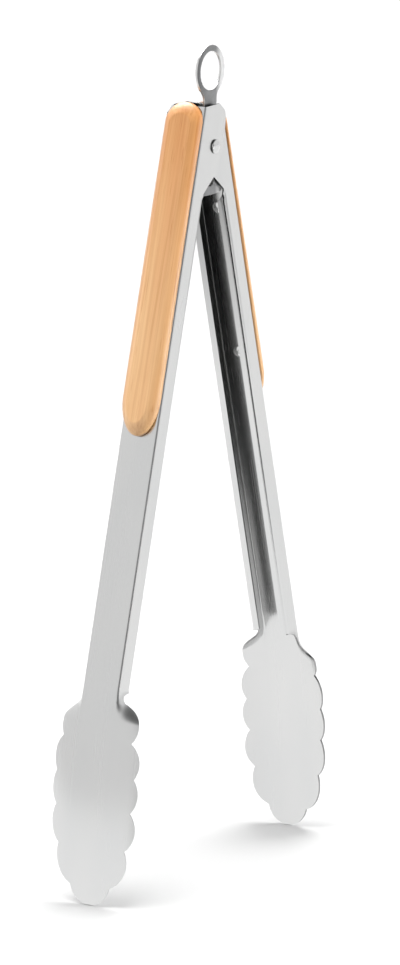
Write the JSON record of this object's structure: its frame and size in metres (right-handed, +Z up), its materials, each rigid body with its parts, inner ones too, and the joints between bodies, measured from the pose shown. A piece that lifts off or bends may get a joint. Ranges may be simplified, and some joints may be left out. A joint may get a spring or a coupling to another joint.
{
  "type": "kitchen tongs",
  "caption": "Long sprung kitchen tongs with channel arms, scalloped spoon heads, wooden handle scales and a pull ring lock.",
  "frame": {"origin": "on the floor, midway between the two tips of the open tongs", "axes": "+Z up the tongs to the ring, Y along the pivot rivet, X from the left arm to the right arm"},
  "size_m": [0.191, 0.049, 0.4058],
  "materials": {
    "arm_steel": "satin stainless",
    "beech": "lacquered, fine straight grain",
    "screw_steel": "plain",
    "rivet_steel": "polished",
    "spring_steel": "drawn wire",
    "plate_steel": "satin, blanked edge"
  },
  "bodies": {
    "pivot": {"pivot_rivet": "rivet_steel", "spacer_sleeve": "rivet_steel", "torsion_spring": "spring_steel"},
    "left_lever": {"left_arm": "arm_steel", "left_scale": "beech", "left_upper_screw": "screw_steel", "left_lower_screw": "screw_steel"},
    "right_lever": {"right_arm": "arm_steel", "right_scale": "beech", "right_upper_screw": "screw_steel", "right_lower_screw": "screw_steel"},
    "slider": {"ring_slider": "plate_steel"}
  },
  "joints": [
    {"name": "left_hinge", "type": "hinge", "parent": "pivot", "child": "left_lever", "pos_m": [0, 0, 0.35687], "axis": [0, -1, 0], "range_deg": [0, 14.5], "stiffness_Nm_per_rad": 1, "springref_deg": -17.19, "deforming": ["torsion_spring"]},
    {"name": "right_hinge", "type": "hinge", "parent": "pivot", "child": "right_lever", "pos_m": [0, 0, 0.35687], "axis": [0, 1, 0], "range_deg": [0, 14.5], "stiffness_Nm_per_rad": 1, "springref_deg": -17.19, "deforming": ["torsion_spring"]},
    {"name": "ring_slide", "type": "slide", "parent": "pivot", "child": "slider", "axis": [0, 0, 1], "range_m": [0, 0.015]}
  ],
  "couplings": [
    {"joint": "right_hinge", "follows": "left_hinge", "ratio": 1},
    {"joint": "ring_slide", "follows": "left_hinge", "m_per_rad": 0.0592}
  ]
}
